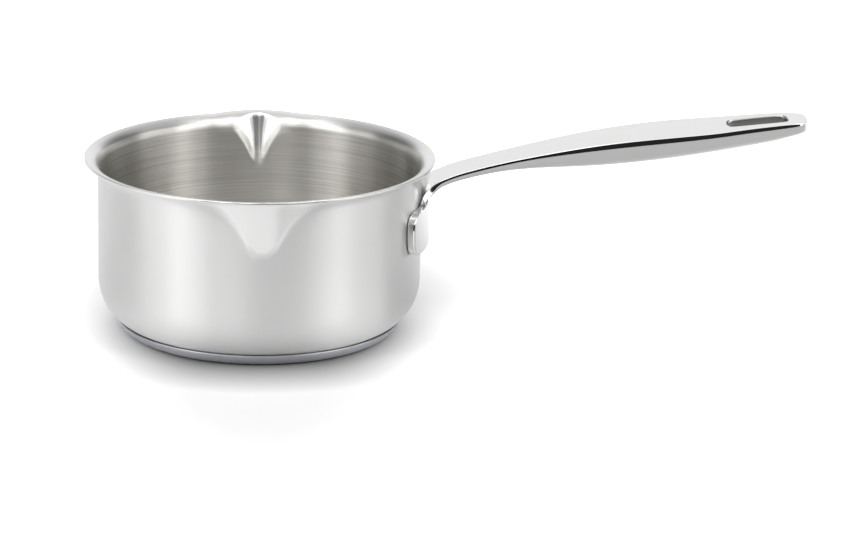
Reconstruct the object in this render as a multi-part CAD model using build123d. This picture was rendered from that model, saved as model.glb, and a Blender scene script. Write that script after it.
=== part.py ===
from build123d import *
import os
from math import cos, degrees, hypot, radians, sin, sqrt, tan

# A stainless steel milk pan: a drawn vessel with a flared rim and two pouring lips,
# an encapsulated base, and one long hollow handle on a welded root.
# Millimetres. The pan's axis is Z, the base rests on Z = 0, the handle points along +X,
# and the lips face -Y and +Y.

# Vessel
body_radius = 70.0
sheet = 0.8
rim_height = 76.3
flare_round = 6.0
rim_flat = 0.5
corner_across = 16.2
corner_up = 19.6

# Pouring lips, pressed outwards from the wall
lip_foot = 50.0
lip_slope_share = 0.266
lip_floor_half = 2.7
lip_flank_share = 0.62
lip_round = 2.4
lip_bury_share = 3.0
lip_depth_share = 0.23
lip_rim_reach = 2.3
lip_rim_radius = 40.0

# Base
cap_sheet = 0.5
cap_round = 7.0
cap_reach = 8.2
groove_width = 1.0
braze = 0.15
spreader_sheet = 2.8
spreader_inset = 2.0

# Handle root: pad, stem, bend and neck
pad_gap = 0.2
pad_sheet = 3.6
pad_bottom = 40.0
pad_height = 18.6
pad_half_angle = 28.3
pad_corner = 5.5
pad_edge_round = 0.9
stem_sheet = 3.0
stem_spread = 10.0
stem_spread_power = 4
bend_drop = 2.5
bend_radius = 13.0
bend_sections = 5
neck_angle = 23.0
neck_run = 6.0

# Weld nuggets between the pad and the wall
weld_size = 5.0
weld_rows = 2
weld_columns = 4
weld_row_pitch = 8.0
weld_column_pitch = 13.0

# Grip
grip_skin = 1.1
grip_length = 153.0
grip_rise = 23.2
grip_width = 31.0
grip_depth = 13.0
grip_shares = [
    # shares of the length, the rise, the width and the depth, from the neck to the tip
    (0.00, 0.000, 0.690, 0.362),
    (0.11, 0.198, 0.684, 0.408),
    (0.23, 0.382, 0.758, 0.604),
    (0.35, 0.549, 0.855, 0.862),
    (0.46, 0.670, 0.927, 0.985),
    (0.60, 0.780, 1.000, 0.985),
    (0.72, 0.846, 0.945, 0.880),
    (0.84, 0.931, 0.805, 0.792),
    (0.92, 0.979, 0.729, 0.692),
    (1.00, 1.000, 0.600, 0.460),
]
tip_corner = 6.0
tip_width_share = 0.668
tip_wall = 3.2
spigot_length = 12.0
spigot_sheet = 1.2
spigot_clearance = 0.25

# Hanging slot
slot_length = 25.4
slot_width = 11.5
slot_corner = 3.6
slot_centre_from_tip = 21.4
liner_sheet = 0.9

# Overrun of cutting shapes
overrun = 2.0

# Places that follow from the sizes
bottom_height = cap_sheet + spreader_sheet + 2 * braze
corner_centre = body_radius - corner_across
rim_radius = body_radius - sheet + flare_round + rim_flat
flare_start = rim_height - flare_round
pad_top = pad_bottom + pad_height
root_radius = body_radius + pad_gap
bend_start = pad_top - bend_drop
bend_turn = 90 - neck_angle


def underside_height(radius):
    """Height of the vessel's underside at a radius."""
    across = max(radius - corner_centre, 0) / corner_across
    return bottom_height + corner_up * (1 - sqrt(1 - across ** 2))


def bend_point(turn, offset):
    """A point of the handle's bend in the XZ plane, offset towards its inner side."""
    curve = bend_radius - offset
    angle = radians(turn)
    return root_radius + bend_radius - curve * cos(angle), bend_start + curve * sin(angle)


cap_radius = corner_centre + cap_reach
cap_height = underside_height(cap_radius) - groove_width
cap_centre = cap_radius - sqrt(cap_round ** 2 - (cap_round - cap_height) ** 2)
neck_end = bend_point(bend_turn, 0)[0] + neck_run
neck_height = bend_point(bend_turn, 0)[1] + neck_run * tan(radians(neck_angle))
tip_end = neck_end + grip_length
tip_height = neck_height + grip_rise
above_all = tip_height + grip_depth


def turned(face):
    """Turns a face that lies in the XZ plane right round the pan's axis."""
    return revolve(face, Axis.Z, 360)


def vessel_outside():
    """The vessel's outer form, filled."""
    under = flare_round - sheet
    with BuildSketch(Plane.XZ) as section:
        with BuildLine():
            Line((0, bottom_height), (corner_centre, bottom_height))
            EllipticalCenterArc((corner_centre, bottom_height + corner_up), corner_across, corner_up, 270)
            Line((body_radius, bottom_height + corner_up), (body_radius, flare_start))
            CenterArc((body_radius + under, flare_start), under, 180, -90)
            Polyline((body_radius + under, rim_height - sheet), (rim_radius, rim_height - sheet),
                     (rim_radius, rim_height), (0, rim_height), (0, bottom_height))
        make_face()
    return turned(section.sketch)


def vessel_inside():
    """The space inside the vessel, run past the rim."""
    inner = body_radius - sheet
    floor = bottom_height + sheet
    with BuildSketch(Plane.XZ) as section:
        with BuildLine():
            Line((0, floor), (corner_centre, floor))
            EllipticalCenterArc((corner_centre, bottom_height + corner_up),
                                corner_across - sheet, corner_up - sheet, 270)
            Line((inner, bottom_height + corner_up), (inner, flare_start))
            CenterArc((inner + flare_round, flare_start), flare_round, 180, -90)
            Polyline((inner + flare_round, rim_height), (inner + flare_round, rim_height + overrun),
                     (0, rim_height + overrun), (0, floor))
        make_face()
    return turned(section.sketch)


def lip_press(inset, top):
    """One lip on the -Y side: a blunt V that climbs and leans outwards, drawn in by inset."""
    start = lip_foot - lip_bury_share * sheet / lip_slope_share
    reach = body_radius + lip_slope_share * (start - lip_foot) - inset
    deep = lip_depth_share * body_radius
    half = lip_floor_half - inset * (sqrt(1 + lip_flank_share ** 2) - 1) / lip_flank_share
    spread = half + deep / lip_flank_share
    outline = Polyline((-spread, deep - reach), (-half, -reach), (half, -reach), (spread, deep - reach), close=True)
    section = make_face(outline)
    section = fillet(section.vertices().sort_by(Axis.Y)[:2], lip_round - inset)
    climb = Vector(0, -lip_slope_share, 1)
    return Pos(0, 0, start) * extrude(section, (top - start) * climb.length, dir=climb)


def lip_rim():
    """The crescent of rim that stands further out at a lip."""
    reach = rim_radius + lip_rim_reach
    disc = Pos(0, lip_rim_radius - reach, rim_height - sheet / 2) * Cylinder(lip_rim_radius, sheet)
    keep = Pos(0, -rim_radius, rim_height) * Box(2 * lip_rim_radius, rim_radius, 2 * rim_height)
    return disc & keep


def vessel():
    """The drawn sheet: bottom, wall, flared rim and both lips."""
    outside = vessel_outside()
    inside = vessel_inside()
    for turn in (0, 180):
        place = Rot(0, 0, turn)
        outside += place * lip_press(0, rim_height)
        outside += place * lip_rim()
        inside += place * lip_press(sheet, rim_height + overrun)
    return outside - inside


def cap_curve_height(radius, offset):
    """Height of the cap's rounded side at a radius, offset inwards."""
    return cap_round - sqrt((cap_round - offset) ** 2 - max(radius - cap_centre, 0) ** 2)


def base_cap():
    """The magnetic steel dish that closes the base."""
    inner = cap_round - cap_sheet
    inner_top = cap_centre + sqrt(inner ** 2 - (cap_round - cap_height) ** 2)
    slant = sin(radians(45))
    outer_middle = (cap_centre + cap_round * slant, cap_round - cap_round * slant)
    inner_middle = (cap_centre + inner * slant, cap_round - inner * slant)
    with BuildSketch(Plane.XZ) as section:
        with BuildLine():
            Line((0, 0), (cap_centre, 0))
            ThreePointArc((cap_centre, 0), outer_middle, (cap_radius, cap_height))
            Line((cap_radius, cap_height), (inner_top, cap_height))
            ThreePointArc((inner_top, cap_height), inner_middle, (cap_centre, cap_sheet))
            Polyline((cap_centre, cap_sheet), (0, cap_sheet), (0, 0))
        make_face()
    return turned(section.sketch)


def spreader_disc():
    """The aluminium disc, pressed to the vessel's underside and to the cap."""
    edge = cap_radius - spreader_inset
    low = cap_sheet + braze
    high = bottom_height - braze
    low_middle = (cap_centre + edge) / 2
    high_middle = (corner_centre + edge) / 2
    low_edge = cap_curve_height(edge, low)
    high_edge = underside_height(edge) - braze
    with BuildSketch(Plane.XZ) as section:
        with BuildLine():
            Line((0, low), (cap_centre, low))
            ThreePointArc((cap_centre, low), (low_middle, cap_curve_height(low_middle, low)), (edge, low_edge))
            Line((edge, low_edge), (edge, high_edge))
            ThreePointArc((edge, high_edge), (high_middle, underside_height(high_middle) - braze),
                          (corner_centre, high))
            Polyline((corner_centre, high), (0, high), (0, low))
        make_face()
    return turned(section.sketch)


def braze_layer(radius, low):
    """A flat layer of braze metal that starts at a height."""
    return Pos(0, 0, low + braze / 2) * Cylinder(radius, braze)


def half_round(place, half, depth):
    """A section with a flat top and a half elliptical belly, in a plane across the handle."""
    with BuildSketch(place) as section:
        with BuildLine():
            Line((half, 0), (-half, 0))
            EllipticalCenterArc((0, 0), half, depth, 180, arc_size=180)
        make_face()
    return section.sketch.face()


def stem():
    """The stem that leaves the pad, bends away from the wall and narrows to the grip's first section."""
    end_half = grip_shares[0][2] * grip_width / 2
    end_depth = grip_shares[0][3] * grip_depth
    bend_run = bend_radius * radians(bend_turn)
    whole_run = bend_run + neck_run / cos(radians(neck_angle))
    sections = []
    for number in range(bend_sections):
        turn = bend_turn * number / (bend_sections - 1)
        along = bend_radius * radians(turn) / whole_run
        half = end_half + stem_spread * (1 - along) ** stem_spread_power
        depth = stem_sheet + (end_depth - stem_sheet) * along
        x, z = bend_point(turn, 0)
        ahead = (sin(radians(turn)), 0, cos(radians(turn)))
        sections.append(half_round(Plane((x, 0, z), x_dir=(0, 1, 0), z_dir=ahead), half, depth))
    end_place = Plane((neck_end, 0, neck_height), x_dir=(0, 1, 0), z_dir=(1, 0, 0))
    sections.append(half_round(end_place, end_half, end_depth))
    return loft(sections)


def pad():
    """The curved pad that lies on the wall."""
    outer = root_radius + pad_sheet
    with BuildSketch(Plane.XZ) as section:
        with Locations((root_radius + pad_sheet / 2, pad_bottom + pad_height / 2)):
            Rectangle(pad_sheet, pad_height)
    plate = Rot(0, 0, -pad_half_angle) * revolve(section.sketch, Axis.Z, 2 * pad_half_angle)
    across = [edge for edge in plate.edges() if abs(edge.length - pad_sheet) < pad_gap]
    plate = fillet(across, pad_corner)
    face_edges = [edge for edge in plate.edges()
                  if all(hypot(v.X, v.Y) > outer - pad_gap for v in edge.vertices())]
    return fillet(face_edges, pad_edge_round)


def spigot():
    """The tongue of the root inside the hollow grip."""
    along, rise, width, depth = grip_shares[0]
    slope = grip_shares[1][1] * grip_rise / (grip_shares[1][0] * grip_length)
    start = neck_height - grip_skin - spigot_clearance
    climb = slope * spigot_length
    room = depth * grip_depth - grip_skin - spigot_clearance
    low_share = (grip_skin + spigot_clearance + spigot_sheet) / room
    half = (width * grip_width / 2 - grip_skin - spigot_clearance) * sqrt(1 - low_share ** 2)
    with BuildSketch(Plane.XZ) as side:
        with BuildLine():
            Polyline((neck_end, start - spigot_sheet), (neck_end, start),
                     (neck_end + spigot_length, start + climb),
                     (neck_end + spigot_length, start - spigot_sheet + climb), close=True)
        make_face()
    return extrude(side.sketch, half, both=True)


def handle_root():
    """Pad, stem, bend and spigot in one piece."""
    return pad() + stem() + spigot()


def pad_welds():
    """Nuggets of weld metal between the pad and the wall."""
    middle = pad_bottom + pad_height / 2
    with BuildSketch(Plane.XZ) as section:
        with Locations((body_radius + pad_gap / 2, middle)):
            Rectangle(pad_gap, pad_height)
    gap = Rot(0, 0, -pad_half_angle) * revolve(section.sketch, Axis.Z, 2 * pad_half_angle)
    nuggets = []
    for row in range(weld_rows):
        for column in range(weld_columns):
            height = middle + (row - (weld_rows - 1) / 2) * weld_row_pitch
            turn = degrees((column - (weld_columns - 1) / 2) * weld_column_pitch / body_radius)
            pin = Rot(0, 0, turn) * Pos(body_radius, 0, height) * Rot(0, 90, 0) * Cylinder(weld_size / 2, weld_size)
            nuggets.append(pin & gap)
    return Compound(children=[solid for nugget in nuggets for solid in nugget.solids()])


def grip_section(shares, inset):
    """One section of the grip, drawn in by inset."""
    along, rise, width, depth = shares
    corner = (neck_end + along * grip_length, 0, neck_height + rise * grip_rise)
    place = Plane(corner, x_dir=(0, 1, 0), z_dir=(1, 0, 0))
    return half_round(place, width * grip_width / 2 - inset, depth * grip_depth - inset)


def grip_form(inset):
    """The grip's form through its sections, drawn in by inset."""
    return loft([grip_section(shares, inset) for shares in grip_shares])


def tip_trimming():
    """What lies outside the grip's rounded end, seen from above."""
    width = tip_width_share * grip_width
    with BuildSketch() as outline:
        with Locations((tip_end, 0)):
            Rectangle(2 * tip_corner, 2 * grip_width)
        with Locations((tip_end - width, 0)):
            RectangleRounded(2 * width, width, tip_corner, mode=Mode.SUBTRACT)
    return extrude(outline.sketch, above_all)


def top_band():
    """Everything from one skin below the grip's top surface upwards."""
    points = [(neck_end + along * grip_length, neck_height + rise * grip_rise - grip_skin)
              for along, rise, width, depth in grip_shares]
    before, after = neck_end - overrun, tip_end + overrun
    with BuildSketch(Plane.XZ) as section:
        with BuildLine():
            Spline(*points)
            Polyline(points[-1], (after, points[-1][1]), (after, above_all), (before, above_all),
                     (before, points[0][1]), points[0])
        make_face()
    return extrude(section.sketch, grip_width, both=True)


def slot_prism(grow):
    """The hanging slot's prism, grown all round."""
    with BuildSketch() as outline:
        with Locations((tip_end - slot_centre_from_tip, 0)):
            RectangleRounded(slot_length + 2 * grow, slot_width + 2 * grow, slot_corner + grow)
    return extrude(outline.sketch, above_all)


def grip_pieces():
    """The grip's top plate, its belly shell and the liner of its hanging slot."""
    form = grip_form(0) - tip_trimming()
    before_tip = Pos(neck_end - tip_wall, 0, 0) * Box(2 * grip_length, 2 * grip_width, 2 * above_all)
    hollow = grip_form(grip_skin) & before_tip
    band = top_band()
    lined = slot_prism(liner_sheet)
    top = (form & band) - lined
    belly = (form - band) - hollow - lined
    liner = (form & lined) - slot_prism(0)
    return top, belly, liner


parts = {
    "vessel": vessel(),
    "base_cap": base_cap(),
    "spreader_disc": spreader_disc(),
    "braze_lower": braze_layer(cap_centre, cap_sheet),
    "braze_upper": braze_layer(corner_centre, bottom_height - braze),
    "handle_root": handle_root(),
    "pad_welds": pad_welds(),
}
parts["grip_top"], parts["grip_belly"], parts["slot_liner"] = grip_pieces()

os.makedirs("parts", exist_ok=True)
for name, shape in parts.items():
    export_step(shape, f"parts/{name}.step")
    print(name, len(shape.solids()), "solids", round(shape.volume, 1), "mm3")
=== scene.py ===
from math import asin, atan2, cos, hypot, pi, radians, sin, sqrt, tan
import bmesh
import bpy
from mathutils import Matrix, Vector


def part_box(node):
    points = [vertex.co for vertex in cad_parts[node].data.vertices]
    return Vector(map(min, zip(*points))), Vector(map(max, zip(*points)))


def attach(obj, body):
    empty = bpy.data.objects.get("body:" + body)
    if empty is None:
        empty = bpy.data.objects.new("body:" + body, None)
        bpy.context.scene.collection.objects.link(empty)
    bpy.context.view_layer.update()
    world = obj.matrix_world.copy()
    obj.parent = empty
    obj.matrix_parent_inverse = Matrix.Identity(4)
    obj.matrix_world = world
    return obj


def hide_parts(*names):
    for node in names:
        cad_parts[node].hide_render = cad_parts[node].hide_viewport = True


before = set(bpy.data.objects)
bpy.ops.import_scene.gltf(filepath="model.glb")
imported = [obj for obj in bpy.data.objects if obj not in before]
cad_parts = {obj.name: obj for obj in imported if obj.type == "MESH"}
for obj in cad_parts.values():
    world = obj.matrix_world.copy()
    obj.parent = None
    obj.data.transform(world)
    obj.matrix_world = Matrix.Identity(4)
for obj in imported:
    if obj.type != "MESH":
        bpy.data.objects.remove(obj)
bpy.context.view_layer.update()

mm = 0.001
mergeGap = 0.002 * mm
print("milk pan: frame loaded")


class Signal:
    # an output of a node, so that plain sums on it add their Math nodes

    def __init__(self, book, socket):
        self.book = book
        self.socket = socket

    def math(self, operation, first, second=0.0):
        return self.book.add("ShaderNodeMath", {"operation": operation}, {0: first, 1: second})

    def __add__(self, other):
        return self.math("ADD", self, other)

    def __radd__(self, other):
        return self.math("ADD", other, self)

    def __sub__(self, other):
        return self.math("SUBTRACT", self, other)

    def __rsub__(self, other):
        return self.math("SUBTRACT", other, self)

    def __mul__(self, other):
        return self.math("MULTIPLY", self, other)

    def __rmul__(self, other):
        return self.math("MULTIPLY", other, self)

    def ramp(self, low, high):        # 0 below low, 1 above high, soft between
        return self.book.add("ShaderNodeMapRange", {"interpolation_type": "SMOOTHSTEP"},
                             {"Value": self, "From Min": low, "From Max": high})

    def window(self, low, high, soft):        # 1 from low to high, soft outside
        return self.ramp(low - soft, low) * (1 - self.ramp(high, high + soft))


class NodeBook:
    # writes one node tree from scratch

    def __init__(self, tree):
        self.tree = tree
        tree.nodes.clear()

    def add(self, kind, settings=None, inputs=None, output=0):
        node = self.tree.nodes.new(kind)
        for name, value in (settings or {}).items():
            setattr(node, name, value)
        for name, value in (inputs or {}).items():
            if isinstance(value, Signal):
                self.tree.links.new(value.socket, node.inputs[name])
            else:
                node.inputs[name].default_value = value
        return Signal(self, node.outputs[output]) if node.outputs else None

    def blend(self, factor, first, second):        # between two colours
        return self.add("ShaderNodeMix", {"data_type": "RGBA"}, {0: factor, 6: first, 7: second}, 2)

    def place(self, scale):        # object coordinates, stretched
        spot = self.add("ShaderNodeTexCoord", output=3)
        return self.add("ShaderNodeMapping", None, {"Vector": spot, "Scale": scale})

    def noise(self, scale, detail, stretch=(1, 1, 1)):
        return self.add("ShaderNodeTexNoise", None,
                        {"Vector": self.place(stretch), "Scale": scale, "Detail": detail, "Roughness": 0.5})

    def parts(self, vector):        # the three numbers of a vector
        node = self.tree.nodes.new("ShaderNodeSeparateXYZ")
        self.tree.links.new(vector.socket, node.inputs[0])
        return [Signal(self, socket) for socket in node.outputs]


def newMaterial(name):
    material = bpy.data.materials.new(name)
    material.use_nodes = True
    return material, NodeBook(material.node_tree)


def finishMaterial(book, shader):
    book.add("ShaderNodeOutputMaterial", None, {"Surface": shader})


# Studio
cameraSet = {
    "lens": 151.845,
    "sensor": 36.0,
    "distance": 1600 * mm,
    "elevation": 17.722,
    "yaw": 2.836,
    "pitch": 16.847,
    "roll": 1.120,
    "panTurn": 0.9,        # the pan is turned by this under the camera
}


def makeCamera(data):
    camera = bpy.data.cameras.new("camera")
    camera.lens = data["lens"]
    camera.sensor_width = data["sensor"]
    camera.clip_end = 20
    holder = bpy.data.objects.new("camera", camera)
    bpy.context.collection.objects.link(holder)
    high = radians(data["elevation"])
    spot = Matrix.Translation((0, -data["distance"] * cos(high), data["distance"] * sin(high)))
    aim = (Matrix.Rotation(-radians(data["yaw"]), 4, "Z")
           @ Matrix.Rotation(radians(90 - data["pitch"]), 4, "X")
           @ Matrix.Rotation(radians(data["roll"]), 4, "Z"))
    holder.matrix_world = Matrix.Rotation(-radians(data["panTurn"]), 4, "Z") @ spot @ aim
    bpy.context.scene.camera = holder


studioSet = {
    "tableFront": -360 * mm,
    "tableReach": 3000 * mm,
    "tableDrop": 0.05 * mm,        # keeps the table clear of the base's face
    "tableColour": (0.80, 0.80, 0.80, 1),
    "tableSeen": (0.93, 0.93, 0.93, 1),        # lifts the lit table to white for the camera
    "tableSeenFar": (1.75, 1.75, 1.75, 1),
    "far": (75 * mm, 265 * mm),        # the lift grows from near to far between these distances, so the table near the pan stays darker: painted shade round the base
    "farStretch": (2.0, 0.66),        # sideways it grows sooner than to the front
    # the table as seen in the metal: darker towards the handle's side, painted shade under the handle, and
    # a little brighter at the back, painted light
    "tableMirrored": (1.02, 1.02, 1.02, 1),
    "tableMirroredBack": (1.08, 1.08, 1.08, 1),
    "paintedShadeMirrored": (0.54, 0.54, 0.54, 1),
    "paintedShadeFrom": (60 * mm, 110 * mm),
    "mirroredBack": (-20 * mm, 160 * mm),
    "contactReach": 31 * mm,        # how far the soft contact shadow reaches
    "contactDepth": 0.75,
    "contactFade": 0.88,
    "contactSides": (22 * mm, 80 * mm),        # it fades between these distances to the sides
    "contactSamples": 12,
    "least": 0.02,
    "side": 0.03,
    "back": 0.92,
    "backFrom": (140, 165),        # bearings in degrees, 0 towards the camera
    "ceiling": 0.7,
    "ceilingFrom": (58, 70),        # heights in degrees
    "darkAside": (32, 48),        # the front is dark up to here aside
    "darkHeight": (12, 20),        # and up to here in height
    "boxes": [
        # bearings from and to, heights from and to, softness in degrees, strength
        (-88, -60, -8, 22, 10, 1.7),
        (-64, -46, 20, 62, 8, 3.3),
        (58, 90, -8, 22, 12, 2.0),
        (44, 60, 20, 62, 8, 3.0),
        (-42, 40, 26, 64, 6, 1.3),
        (-28, -16, 26, 60, 6, 1.7),
        (-140, -80, 40, 60, 10, 0.35),
        (80, 140, 40, 60, 10, 0.35),
        (-150, -96, -8, 8, 8, 1.0),
        (92, 150, -8, 8, 8, 1.2),
    ],
}


def makeTable(data):
    bm = bmesh.new()
    bmesh.ops.create_grid(bm, x_segments=8, y_segments=8, size=1)
    reach = data["tableReach"]
    deep = (reach - data["tableFront"]) / 2
    bmesh.ops.scale(bm, vec=(reach, deep, 1), verts=bm.verts)
    bmesh.ops.translate(bm, vec=(0, deep + data["tableFront"], -data["tableDrop"]), verts=bm.verts)
    table = meshObject(bm, "table")
    material, book = newMaterial("tableWhite")
    light = book.tree.nodes.new("ShaderNodeLightPath")
    camera = Signal(book, light.outputs["Is Camera Ray"])
    glossy = Signal(book, light.outputs["Is Glossy Ray"])
    through = Signal(book, light.outputs["Is Transmission Ray"])
    x, y = book.parts(book.add("ShaderNodeTexCoord", output=3))[:2]
    # painted shade and light on the table for reflections: darker under the handle, a little brighter at
    # the back
    mirrored = book.blend(x.ramp(*data["paintedShadeFrom"]), data["tableMirrored"], data["paintedShadeMirrored"])
    mirrored = book.blend(y.ramp(*data["mirroredBack"]), mirrored, data["tableMirroredBack"])
    near = book.add("ShaderNodeAmbientOcclusion", {"samples": data["contactSamples"]},
                    {"Distance": data["contactReach"]}, 1)
    colour = book.blend(glossy + through, data["tableColour"], mirrored)
    # painted shade round the base: near the pan the table is lifted less for the camera than far off
    sideways, ahead = [part * factor for part, factor in zip((x, y), data["farStretch"])]
    away = x.math("SQRT", sideways * sideways + ahead * ahead).ramp(*data["far"])
    colour = book.blend(camera, colour, book.blend(away, data["tableSeen"], data["tableSeenFar"]))
    fade = data["contactFade"] * x.math("ABSOLUTE", x).ramp(*data["contactSides"])
    depth = (1 - fade) * data["contactDepth"]
    # painted contact shadow: ambient occlusion darkens the table's colour for camera and glossy rays, less
    # to the sides
    colour = book.blend((1 - near * near) * depth * (camera + glossy), colour, (0, 0, 0, 1))
    finishMaterial(book, book.add("ShaderNodeBsdfDiffuse", None, {"Color": colour}))
    table.data.materials.append(material)


def makeWorld(data):
    world = bpy.data.worlds.new("studio")
    bpy.context.scene.world = world
    world.use_nodes = True
    book = NodeBook(world.node_tree)
    x, y, z = book.parts(book.add("ShaderNodeTexCoord", output=0))
    degree = 180 / pi
    bearing = x.math("ARCTAN2", x, 0 - y) * degree        # 0 is towards the camera, 90 towards the handle
    height = z.math("ARCSINE", z) * degree
    aside = bearing.math("ABSOLUTE", bearing)
    level = data["side"] + (data["back"] - data["side"]) * aside.ramp(*data["backFrom"])
    dark = (1 - aside.ramp(*data["darkAside"])) * (1 - height.ramp(*data["darkHeight"]))
    level = level * (1 - dark)
    for left, right, low, high, soft, strength in data["boxes"]:
        level = level + strength * bearing.window(left, right, soft) * height.window(low, high, soft)
    top = height.ramp(*data["ceilingFrom"])
    level = level * (1 - top) + data["ceiling"] * top + data["least"]
    studio = book.add("ShaderNodeBackground", None, {"Color": (1, 1, 1, 1), "Strength": level})
    plain = book.add("ShaderNodeBackground", None, {"Color": (1, 1, 1, 1), "Strength": 1})
    light = book.add("ShaderNodeLightPath")        # Is Camera Ray
    mixed = book.add("ShaderNodeMixShader", None, {0: light, 1: studio, 2: plain})
    book.add("ShaderNodeOutputWorld", None, {"Surface": mixed})


# Mesh helpers
def meshObject(bm, name):
    mesh = bpy.data.meshes.new(name)
    bm.to_mesh(mesh)
    bm.free()
    mesh.shade_smooth()
    piece = bpy.data.objects.new(name, mesh)
    bpy.context.collection.objects.link(piece)
    return piece


def lineTo(bm, vert, across, height, steps=1):
    start = vert.co.copy()
    for step in range(1, steps + 1):
        vert = bmesh.ops.extrude_vert_indiv(bm, verts=[vert])["verts"][0]
        vert.co = start.lerp(Vector((across, 0, height)), step / steps)
    return vert


def arcTo(bm, start, centre, turn, steps, stretch=(1, 1, 1)):
    before = set(bm.verts)
    middle = Vector((centre[0], 0, centre[1]))
    swept = bmesh.ops.spin(bm, geom=[start], cent=middle, axis=(0, 1, 0), angle=radians(turn), steps=steps)
    fresh = [vert for vert in bm.verts if vert not in before]
    bmesh.ops.scale(bm, vec=stretch, space=Matrix.Translation(-middle), verts=fresh)
    return [item for item in swept["geom_last"] if isinstance(item, bmesh.types.BMVert)][0]


def turnProfile(bm, sectors):
    geometry = list(bm.verts) + list(bm.edges)
    for turn, steps in sectors:
        swept = bmesh.ops.spin(bm, geom=geometry, cent=(0, 0, 0), axis=(0, 0, 1),
                               angle=radians(turn), steps=steps)
        geometry = swept["geom_last"]
    bmesh.ops.remove_doubles(bm, verts=bm.verts, dist=mergeGap)
    bmesh.ops.recalc_face_normals(bm, faces=bm.faces)


def softMax(first, second, reach):
    overlap = max(reach - abs(first - second), 0) / reach
    return max(first, second) + overlap ** 2 * reach / 4


def softMin(first, second, reach):
    return -softMax(-first, -second, reach)


# Vessel
vesselSet = {
    "wall": 70 * mm,
    "sheet": 0.8 * mm,
    "flare": 6 * mm,
    "rimEdge": 1.15 * mm,
    "edgeRound": 0.3 * mm,
    "cornerAcross": 16.2 * mm,
    "cornerUp": 19.6 * mm,
    "lipFoot": 50 * mm,
    "lipSlope": 0.266,
    "lipFlank": 0.64,
    "lipSpread": 0.26,        # how much less steep the flanks are at the rim
    "lipFloors": [
        # outside, then inside: foot, half width of the floor, softness of its edges at the foot,
        # the softness's gain with height
        (49.6 * mm, 3.8 * mm, 1.6 * mm, 0.04),
        (53.4 * mm, 1.5 * mm, 0.8 * mm, 0.04),
    ],
    "lipSoft": 0.6 * mm,        # softness where the lip meets the wall
    "lipSides": 25,        # degrees to each side in which a lip can shape the wall
    "lipBelow": 10 * mm,        # the shaping starts this far below the foot
    "lipFine": 3 * mm,        # the fine rows start this far below it
    "lipRimStart": 9 * mm,        # the rim's bulge grows from this far below the rim
    "lipRimRun": 8 * mm,
    "lipRimSoft": 0.8 * mm,
    "lipReach": 2.3 * mm,        # how far the rim stands out at a lip
    "lipRise": 0.5 * mm,
    "lipRimRadius": 40 * mm,
    "lipRoll": 2.4 * mm,        # height over which the lip rolls out
    "lipRollReach": 0.9 * mm,
    "floorSteps": 6,
    "cornerSteps": 20,
    "lowSteps": 5,
    "wallSteps": 46,
    "flareSteps": (14, 18),        # outside, inside
    "edgeSteps": 3,
    "sectors": [(70, 35), (40, 100), (140, 70), (40, 100), (70, 35)],        # degrees, steps
}


def pressLips(bm, data, rim, rimRadius, inside):
    wall, slope = data["wall"], data["lipSlope"]
    ring = rimRadius + data["lipReach"] - data["lipRimRadius"]
    rollStart = rim + data["lipRise"] - data["lipRoll"]
    for vert in bm.verts:
        across, height = hypot(vert.co.x, vert.co.y), vert.co.z
        side = abs(atan2(vert.co.x, abs(vert.co.y)))
        low = height < data["lipFoot"] - data["lipBelow"]
        if low or side > radians(data["lipSides"]) or across < wall - 2 * data["sheet"]:
            continue
        flared = min(max((height - rim + data["lipRimStart"]) / data["lipRimRun"], 0), 1)
        flared = flared * flared * (3 - 2 * flared)
        crescent = ring * cos(side) + sqrt(data["lipRimRadius"] ** 2 - (ring * sin(side)) ** 2)
        shift = (softMax(rimRadius, crescent, data["lipRimSoft"]) - rimRadius) * flared
        lift = shift / data["lipReach"] * data["lipRise"]
        foot, floorHalf, soft, softGain = data["lipFloors"][round(vert[inside])]
        above = max(height - foot, 0)
        soft += softGain * above
        flank = data["lipFlank"] * (1 - data["lipSpread"] * (above / (rim - foot)) ** 2)
        reach = wall + slope * (height - foot)
        roll = min(max((height + lift - rollStart) / data["lipRoll"], 0), 1)
        reach += data["lipRollReach"] * (1 - sqrt(1 - roll ** 2))
        channel = (reach + flank * floorHalf) / (cos(side) + flank * sin(side))
        channel = softMin(reach / cos(side), channel, soft) - vert[inside] * data["sheet"]
        pushed = softMax(across + shift, channel, data["lipSoft"])
        vert.co.x *= pushed / across
        vert.co.y *= pushed / across
        vert.co.z += lift


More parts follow.
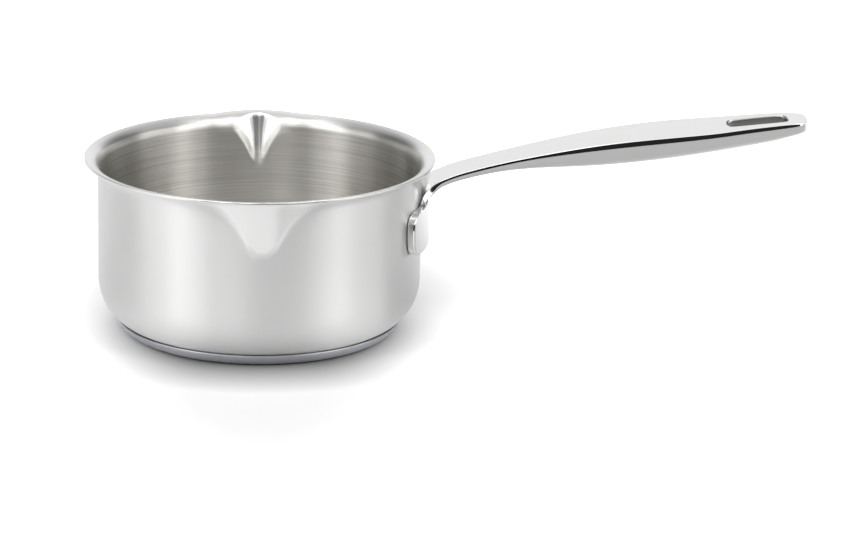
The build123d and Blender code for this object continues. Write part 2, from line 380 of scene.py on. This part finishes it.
def makeVessel(data):
    low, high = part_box("vessel")
    bottom, rim, rimRadius = low[2], high[2], high[0]
    wall, sheet, flare = data["wall"], data["sheet"], data["flare"]
    across, up = data["cornerAcross"], data["cornerUp"]
    edge, edgeRound = data["rimEdge"], data["edgeRound"]
    flareStart = rim - flare
    lipStart = data["lipFoot"] - data["lipFine"]
    floorSteps, cornerSteps, edgeSteps = data["floorSteps"], data["cornerSteps"], data["edgeSteps"]
    lowSteps, wallSteps = data["lowSteps"], data["wallSteps"]
    bm = bmesh.new()
    inside = bm.verts.layers.float.new("inside")
    vert = bm.verts.new((0, 0, bottom))
    vert = lineTo(bm, vert, wall - across, bottom, floorSteps)
    vert = arcTo(bm, vert, (wall - across, bottom + up), -90, cornerSteps, (across / up, 1, 1))
    vert = lineTo(bm, vert, wall, lipStart, lowSteps)
    vert = lineTo(bm, vert, wall, flareStart, wallSteps)
    vert = arcTo(bm, vert, (wall + flare - sheet, flareStart), 90, data["flareSteps"][0])
    vert = lineTo(bm, vert, rimRadius - edgeRound, rim - edge)
    vert = arcTo(bm, vert, (rimRadius - edgeRound, rim - edge + edgeRound), -90, edgeSteps)
    vert = lineTo(bm, vert, rimRadius, rim - edgeRound)
    vert = arcTo(bm, vert, (rimRadius - edgeRound, rim - edgeRound), -90, edgeSteps)
    outer = set(bm.verts)
    vert = lineTo(bm, vert, wall - sheet + flare, rim)
    vert = arcTo(bm, vert, (wall - sheet + flare, flareStart), -90, data["flareSteps"][1])
    vert = lineTo(bm, vert, wall - sheet, lipStart, wallSteps)
    vert = lineTo(bm, vert, wall - sheet, bottom + up, lowSteps)
    squash = (up - sheet) / (across - sheet)
    vert = arcTo(bm, vert, (wall - across, bottom + up), 90, cornerSteps, (1, 1, squash))
    vert = lineTo(bm, vert, 0, bottom + sheet, floorSteps)
    for vert in bm.verts:
        vert[inside] = 0.0 if vert in outer else 1.0
    turnProfile(bm, data["sectors"])
    pressLips(bm, data, rim, rimRadius, inside)
    for face in bm.faces:
        face.material_index = 1 if min(vert[inside] for vert in face.verts) > 0.5 else 0
    vessel = meshObject(bm, "vesselShell")
    rough, streak, colour = steelSet["wallRough"], steelSet["satinStreak"], steelSet["wallColour"]
    vessel.data.materials.append(satinSteel("satinWall", rough, streak, colour))
    vessel.data.materials.append(brushedSteel())
    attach(vessel, "root")
    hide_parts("vessel")


# Steel finishes
steelSet = {
    "flareFrom": (70.1 * mm, 71.5 * mm),        # the flare and the lips stand outside the wall's radius
    "lipFrom": (0.90, 0.96),        # share of the way towards the lips
    "insideStreak": 0.95,
    "satinStreak": 0.9,
    "streakTurn": 0.25,        # a quarter turn: reflections spread up and down
    "wallRough": 0.48,
    "capRough": 0.42,
    "slotRough": 0.38,
    "insideRough": 0.33,
    "satinLines": (60, 60, 3500),        # stretched noise, fine upwards
    "coarseGrain": (12, 12, 3600),
    "fineGrain": (60, 60, 7000),
    "bumpDepth": 0.02 * mm,
    "wallColour": (0.78, 0.78, 0.775, 1),
    "insideDark": (0.53, 0.517, 0.492, 1),
    "insideLight": (0.73, 0.717, 0.688, 1),
    "flareColour": (0.83, 0.83, 0.825, 1),
    # darker and bluer than the wall's steel: the cap's own tone with painted shade from the shadowed table
    # beside the base
    "capToneAndShade": (0.565, 0.575, 0.61, 1),
    # much darker than the handle's steel: painted shade inside the slot
    "slotShadeColour": (0.40, 0.40, 0.39, 1),
    "handleDark": (0.80, 0.80, 0.79, 1),
    "handleLight": (0.84, 0.84, 0.835, 1),
}


def polishedMasks(book):        # one of the flare with the lips, and one of the lips alone
    x, y = book.parts(book.add("ShaderNodeTexCoord", output=3))[:2]
    across = x.math("SQRT", x * x + y * y)
    flare = across.ramp(*steelSet["flareFrom"])
    towardsLip = y.math("DIVIDE", y.math("ABSOLUTE", y), across)
    return flare, flare * towardsLip.ramp(*steelSet["lipFrom"])


def satinSteel(name, rough, streak, colour):        # brushed round where streak is above 0
    material, book = newMaterial(name)
    flare, lips = polishedMasks(book)
    cloud = book.noise(35, 3)
    lines = book.noise(1, 4, steelSet["satinLines"])
    roughness = (rough + 0.03 * (cloud - 0.5) + 0.03 * (lines - 0.5)) * (1 - 0.2 * flare - 0.35 * lips)
    bump = book.add("ShaderNodeBump", None,
                    {"Strength": 0.02, "Distance": steelSet["bumpDepth"], "Height": lines})
    tint = book.blend(cloud, colour, [0.97 * part for part in colour[:3]] + [1])
    finishMaterial(book, book.add("ShaderNodeBsdfPrincipled", None, {
        "Base Color": tint, "Metallic": 1.0, "Roughness": roughness, "Anisotropic": streak,
        "Anisotropic Rotation": steelSet["streakTurn"], "Normal": bump}))
    return material


def brushedSteel():
    material, book = newMaterial("brushedInside")
    flare, lips = polishedMasks(book)
    coarse = book.noise(1, 1, steelSet["coarseGrain"])
    fine = book.noise(1, 2, steelSet["fineGrain"])
    grain = (0.6 * coarse + 0.4 * fine) * (1 - flare)
    roughness = (steelSet["insideRough"] + 0.10 * (grain - 0.5)) * (1 + 0.15 * flare - 0.5 * lips)
    bump = book.add("ShaderNodeBump", None,
                    {"Strength": 0.25, "Distance": steelSet["bumpDepth"], "Height": grain})
    tint = book.blend(grain.ramp(0.3, 0.7), steelSet["insideDark"], steelSet["insideLight"])
    tint = book.blend(flare, tint, steelSet["flareColour"])
    finishMaterial(book, book.add("ShaderNodeBsdfPrincipled", None, {
        "Base Color": tint, "Metallic": 1.0, "Roughness": roughness,
        "Anisotropic": steelSet["insideStreak"], "Anisotropic Rotation": steelSet["streakTurn"],
        "Normal": bump}))
    return material


# Base cap
capSet = {
    "round": 7 * mm,
    "roundSteps": 16,
    "turnSteps": 180,
    "sheet": 0.5 * mm,
    "lip": 0.12 * mm,
}


def makeCap(data):
    low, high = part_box("base_cap")
    radius, top = high[0], high[2]
    bend, sheet, lip = data["round"], data["sheet"], data["lip"]
    centre = radius - sqrt(bend ** 2 - (bend - top) ** 2)
    angle = asin((radius - centre) / bend) * 180 / pi
    bm = bmesh.new()
    vert = bm.verts.new((0, 0, 0))
    vert = lineTo(bm, vert, centre, 0, 4)
    vert = arcTo(bm, vert, (centre, bend), -angle, data["roundSteps"])
    vert = lineTo(bm, vert, radius - lip, top + lip / 4)
    vert = lineTo(bm, vert, radius - sheet, top)
    vert = lineTo(bm, vert, centre, sheet, 3)
    vert = lineTo(bm, vert, 0, sheet, 3)
    turnProfile(bm, [(360, data["turnSteps"])])
    cap = meshObject(bm, "baseDish")
    rough, streak, colour = steelSet["capRough"], steelSet["satinStreak"], steelSet["capToneAndShade"]
    cap.data.materials.append(satinSteel("dishSteel", rough, streak, colour))
    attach(cap, "root")
    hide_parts("base_cap")


# Handle
handleSet = {
    "padInner": 70.2 * mm,
    "padSheet": 3.6 * mm,
    "padHeights": [40 * mm, 42.4 * mm, 47 * mm, 52.5 * mm, 56.6 * mm, 58.6 * mm],
    "padWings": [21.5 * mm, 28 * mm, 33.6 * mm],
    "padStem": 16.5 * mm,
    "columnShares": [0, 0.25, 0.5, 0.74, 0.91, 1],
    "bendRadius": 13 * mm,
    "bendStart": 56.1 * mm,
    "bendTurns": [17, 27, 38, 50, 61, 67],
    "stemSheet": 3.0 * mm,
    "stemSpread": 10 * mm,
    "neckRun": 6 * mm,
    "sideShare": 0.27,        # share of the depth that stands as a side wall
    "sideLeast": 2.0 * mm,
    "sideLean": 0.15,
    "gripPlaces": (0, 0.06, 0.13, 0.21, 0.29, 0.37, 0.46, 0.55, 0.64, 0.71),        # up to the slot
    "gripRise": 23.2 * mm,
    "gripWidth": 31 * mm,
    "gripDepth": 13 * mm,
    "gripShares": [
        # shares of the length, the rise, the width and the depth, from the neck to the tip
        (0.00, 0.000, 0.690, 0.362),
        (0.11, 0.198, 0.684, 0.408),
        (0.23, 0.382, 0.758, 0.604),
        (0.35, 0.549, 0.855, 0.862),
        (0.46, 0.670, 0.927, 0.985),
        (0.60, 0.780, 1.000, 0.985),
        (0.72, 0.846, 0.945, 0.880),
        (0.84, 0.931, 0.805, 0.792),
        (0.92, 0.979, 0.729, 0.692),
        (1.00, 1.000, 0.600, 0.460),
    ],
    "slotLength": 25.4 * mm,
    "slotHalf": 5.75 * mm,
    "slotCorner": 3.6 * mm,
    "slotGrow": 0.5 * mm,        # makes up for what the smoothing takes off the slot
    "slotFromTip": 21.4 * mm,
    "tipCorner": 6 * mm,
    "tipHalf": 10.35 * mm,
    "tipTurns": (35, 65, 90),        # turns of the tip's corner at which it has sections
    "edgeCrease": 0.55,
    "slotCrease": 0.85,
    "padCrease": 0.5,
    "padCorner": 5.5 * mm,
    "padCornerTurns": (60, 28),
    "plateSide": 0.9,        # side wall's share of the thickness at the pad
    "plateFull": 5,        # fullness of the section at the pad, 2 is a half ellipse
    "plateTurns": [10, 62],        # turns of the bend over which the plate becomes half round
    "plateArch": 1.6,        # how long the plate keeps the wall's curve
    "smoothLevels": 3,
}


def between(table, along):        # shares at a place along the grip, on a smooth curve through the table
    rows = [table[0]] + list(table) + [table[-1]]
    number = 1
    while number < len(table) - 1 and table[number][0] < along:
        number += 1
    before, first, second, after = rows[number - 1:number + 3]
    share = (along - first[0]) / (second[0] - first[0])
    values = []
    for part in range(1, len(first)):
        steep = (second[part] - before[part]) / max(second[0] - before[0], 1e-6)
        steepEnd = (after[part] - first[part]) / max(after[0] - first[0], 1e-6)
        run = second[0] - first[0]
        values.append((2 * share ** 3 - 3 * share ** 2 + 1) * first[part]
                      + (share ** 3 - 2 * share ** 2 + share) * run * steep
                      + (3 * share ** 2 - 2 * share ** 3) * second[part]
                      + (share ** 3 - share ** 2) * run * steepEnd)
    return values


def handleStations(data):
    # top centre, direction, half width and depth of each section, from the pad to the tip
    stations = []
    inner, bend = data["padInner"], data["bendRadius"]
    endHalf = data["gripShares"][0][2] * data["gripWidth"] / 2
    endDepth = data["gripShares"][0][3] * data["gripDepth"]
    lastTurn = data["bendTurns"][-1]
    whole = bend * radians(lastTurn) + data["neckRun"] / sin(radians(lastTurn))
    for turn in data["bendTurns"]:
        angle = radians(turn)
        along = bend * angle / whole
        spot = Vector((inner + bend * (1 - cos(angle)), 0, data["bendStart"] + bend * sin(angle)))
        half = endHalf + data["stemSpread"] * (1 - along) ** 4
        depth = data["stemSheet"] + (endDepth - data["stemSheet"]) * along
        stations.append((spot, angle, half, depth))
    spot = stations[-1][0]
    neck = Vector((spot.x + data["neckRun"], 0, spot.z + data["neckRun"] / tan(radians(lastTurn))))
    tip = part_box("grip_top")[1][0]
    length = tip - neck.x
    slotMiddle = tip - data["slotFromTip"]
    slotEnds = [slotMiddle + side * (data["slotLength"] / 2 + data["slotGrow"]) for side in (-1, 1)]
    corner = data["slotCorner"]
    places = [neck.x + share * length for share in data["gripPlaces"]]
    places += [slotEnds[0] - corner, slotEnds[0], slotEnds[0] + corner, slotMiddle,
               slotEnds[1] - corner, slotEnds[1], tip - data["tipCorner"]]
    for place in places:
        rise, width, depth = between(data["gripShares"], (place - neck.x) / length)
        half = width * data["gripWidth"] / 2
        if place > slotEnds[1]:
            half = min(half, data["tipHalf"])
        spot = Vector((place, 0, neck.z + rise * data["gripRise"]))
        stations.append((spot, pi / 2, half, depth * data["gripDepth"]))
    for angle in data["tipTurns"]:
        place = tip - data["tipCorner"] * (1 - sin(radians(angle)))
        rise, width, depth = between(data["gripShares"], (place - neck.x) / length)
        half = data["tipHalf"] - data["tipCorner"] * (1 - cos(radians(angle)))
        spot = Vector((place, 0, neck.z + rise * data["gripRise"]))
        stations.append((spot, pi / 2, half, depth * data["gripDepth"]))
    slotStations = [number for number, station in enumerate(stations)
                    if slotEnds[0] - 0.1 * mm < station[0].x < slotEnds[1] + 0.1 * mm]
    return stations, slotStations


def sectionPoints(data, station, slotted):
    # flat row and belly row of one section, from the near side to the far side
    spot, turn, half, depth = station
    down = Vector((cos(turn), 0, -sin(turn)))
    first, last = data["plateTurns"]
    plate = min(max((last - turn * 180 / pi) / (last - first), 0), 1)
    side = max(data["sideShare"] * depth, data["sideLeast"])
    side += (data["plateSide"] * depth - side) * plate
    full = 2 + (data["plateFull"] - 2) * plate
    shares = list(data["columnShares"])
    cut = 0
    if slotted:
        slotHalf = data["slotHalf"] + data["slotGrow"]
        cut = data["slotCorner"] * (1 - sqrt(0.5)) if abs(slotted) == 2 else 0
        shares[2] = (slotHalf - cut) / half
        shares[1] = (slotHalf - data["slotCorner"]) / half
    lateral = [-share for share in reversed(shares[1:])] + shares
    flat, belly = [], []
    lean = data["sideLean"] * side * (1 - plate)
    for share in lateral:
        drop = side + (depth - side) * max(1 - abs(share) ** full, 0) ** (1 / full)
        arch = min(data["plateArch"] * plate, 1) * (share * half) ** 2 / (2 * data["padInner"])
        inward = cut * (slotted / 2) if abs(share) == shares[2] else 0
        flat.append(spot - down * arch + Vector((inward, share * (half - lean), 0)))
        belly.append(spot + down * (drop - arch) + Vector((inward, share * half, 0)))
    return flat, belly


def growRing(bm, faces, flat, belly, flatPoints, bellyPoints):
    grown = bmesh.ops.extrude_face_region(bm, geom=faces)["geom"]
    bmesh.ops.delete(bm, geom=faces, context="FACES")
    fresh = [item for item in grown if isinstance(item, bmesh.types.BMVert)]
    old = set(flat) | set(belly)
    source = {}
    for vert in fresh:
        for edge in vert.link_edges:
            if edge.other_vert(vert) in old:
                source[edge.other_vert(vert)] = vert
    flat = [source[vert] for vert in flat]
    belly = [source[vert] for vert in belly]
    for vert, point in zip(flat + belly, flatPoints + bellyPoints):
        vert.co = point
    return [item for item in grown if isinstance(item, bmesh.types.BMFace)], flat, belly


def crease(bm, layer, verts, value):
    for first, second in zip(verts, verts[1:]):
        edge = bm.edges.get((first, second))
        if edge:
            edge[layer] = value


def makeHandle(data):
    stations, slotStations = handleStations(data)
    stemColumns = [share * data["padStem"] for share in data["columnShares"]]
    half = stemColumns + data["padWings"]
    columns = [-place for place in reversed(half[1:])] + half
    heights = data["padHeights"]
    bm = bmesh.new()
    creases = bm.edges.layers.float.new("crease_edge")
    bmesh.ops.create_grid(bm, x_segments=len(columns) - 1, y_segments=len(heights) - 1, size=1)
    grid = {}
    for vert in bm.verts:
        column = round((vert.co.x + 1) / 2 * (len(columns) - 1))
        row = round((vert.co.y + 1) / 2 * (len(heights) - 1))
        grid[column, row] = vert
    corner = data["padCorner"]
    for (column, row), vert in grid.items():
        across, height = columns[column], heights[row]
        if column in (0, len(columns) - 1) and row in (0, 1, len(heights) - 2, len(heights) - 1):
            steep = radians(data["padCornerTurns"][0 if row in (0, len(heights) - 1) else 1])
            across = (half[-1] - corner * (1 - cos(steep))) * (-1 if column == 0 else 1)
            inward = corner * (1 - sin(steep))
            height = heights[0] + inward if row < 2 else heights[-1] - inward
        angle = across / data["padInner"]
        vert.co = (data["padInner"] * cos(angle), data["padInner"] * sin(angle), height)
    grown = bmesh.ops.extrude_face_region(bm, geom=list(bm.faces))["geom"]
    places = {vert.co.to_tuple(6): key for key, vert in grid.items()}
    front = {places[vert.co.to_tuple(6)]: vert for vert in grown if isinstance(vert, bmesh.types.BMVert)}
    scale = 1 + data["padSheet"] / data["padInner"]
    for vert in front.values():
        vert.co.x *= scale
        vert.co.y *= scale
    top, wide, wing = len(heights) - 1, len(columns) - 1, len(data["padWings"])
    for layer in (grid, front):
        crease(bm, creases, [layer[column, 0] for column in range(wide + 1)], data["padCrease"])
        for column in (0, wide):
            crease(bm, creases, [layer[column, row] for row in range(top + 1)], data["padCrease"])
        for span in (range(wing + 1), range(wide - wing, wide + 1)):
            crease(bm, creases, [layer[column, top] for column in span], data["padCrease"])
    stemRange = range(wing, wide - wing + 1)
    flat = [grid[column, top] for column in stemRange]
    belly = [front[column, top] for column in stemRange]
    ringVerts = set(flat) | set(belly)
    faces = [face for face in bm.faces if all(vert in ringVerts for vert in face.verts)]
    rings = []
    for number, station in enumerate(stations):
        slotted = 0        # 1 along the slot, 2 and -2 at its ends
        if number in slotStations:
            slotted = {slotStations[0]: 2, slotStations[-1]: -2}.get(number, 1)
        flatPoints, bellyPoints = sectionPoints(data, station, slotted)
        faces, flat, belly = growRing(bm, faces, flat, belly, flatPoints, bellyPoints)
        rings.append((flat, belly))
    for before, after in zip(rings, rings[1:]):
        for row, value in enumerate((data["edgeCrease"], 0)):        # sharp along the flat row alone
            for column in (0, -1):
                crease(bm, creases, [before[row][column], after[row][column]], value)
    lastFlat, lastBelly = rings[-1]
    crease(bm, creases, lastFlat, data["edgeCrease"])
    crease(bm, creases, lastBelly, data["edgeCrease"])
    cutSlot(bm, creases, data, [rings[number] for number in slotStations])
    bmesh.ops.recalc_face_normals(bm, faces=bm.faces)
    handle = meshObject(bm, "handleBar")
    smooth = handle.modifiers.new("smooth", "SUBSURF")
    smooth.levels = data["smoothLevels"]
    smooth.render_levels = data["smoothLevels"]
    handle.data.materials.append(polishedSteel())
    # the slot's walls carry a dark steel colour, painted shade of the slot
    rough, colour = steelSet["slotRough"], steelSet["slotShadeColour"]
    handle.data.materials.append(satinSteel("slotSteelShaded", rough, 0.0, colour))
    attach(handle, "root")
    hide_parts("handle_root", "grip_top", "grip_belly", "slot_liner")


def cutSlot(bm, creases, data, rings):
    middle = len(rings[0][0]) // 2
    gone = []
    for row in range(2):
        inSlot = set()
        for ring in rings:
            inSlot.update(ring[row][middle - 2:middle + 3])
        gone += [face for face in bm.faces if all(vert in inSlot for vert in face.verts)]
    bmesh.ops.delete(bm, geom=gone, context="FACES")
    border = [edge for edge in bm.edges if edge.is_boundary]
    for edge in border:
        edge[creases] = data["slotCrease"]
    for face in bmesh.ops.bridge_loops(bm, edges=border)["faces"]:
        face.material_index = 1


def polishedSteel():
    material, book = newMaterial("mirrorSteel")
    cloud = book.noise(90, 3)
    roughness = 0.045 + 0.03 * cloud
    tint = book.blend(cloud, steelSet["handleDark"], steelSet["handleLight"])
    wave = book.add("ShaderNodeBump", None,
                    {"Strength": 0.03, "Distance": steelSet["bumpDepth"], "Height": book.noise(160, 2)})
    finishMaterial(book, book.add("ShaderNodeBsdfPrincipled", None, {
        "Base Color": tint, "Metallic": 1.0, "Roughness": roughness, "Normal": wave}))
    return material


# Hidden CAD nodes keep their meshes
hiddenSet = {
    # the aluminium disc is coloured dark grey: painted shade of the groove in which its edge shows
    "spreader_disc": ("discAluminiumGrooveShade", (0.30, 0.30, 0.31, 1), 0.55),
    "braze_lower": ("brazeFilm", (0.32, 0.31, 0.30, 1), 0.6),
    "braze_upper": ("brazeFilm", (0.32, 0.31, 0.30, 1), 0.6),
    "pad_welds": ("weldMetal", (0.36, 0.34, 0.32, 1), 0.45),
}


def dressHidden(data):
    for node, (name, colour, rough) in data.items():
        material, book = newMaterial(name)
        speck = book.noise(900, 3)
        bump = book.add("ShaderNodeBump", None,
                        {"Strength": 0.2, "Distance": steelSet["bumpDepth"], "Height": speck})
        tint = book.blend(speck, colour, [1.3 * part for part in colour[:3]] + [1])
        finishMaterial(book, book.add("ShaderNodeBsdfPrincipled", None, {
            "Base Color": tint, "Metallic": 1.0, "Roughness": rough + 0.1 * (speck - 0.5), "Normal": bump}))
        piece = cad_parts[node]
        for number in range(len(piece.material_slots)):
            piece.material_slots[number].material = material


makeCamera(cameraSet)
makeTable(studioSet)
makeWorld(studioSet)
print("milk pan: studio set")
makeVessel(vesselSet)
makeCap(capSet)
print("milk pan: vessel and base made")
makeHandle(handleSet)
dressHidden(hiddenSet)
print("milk pan: handle made")

bpy.context.scene.view_settings.view_transform = "Standard"
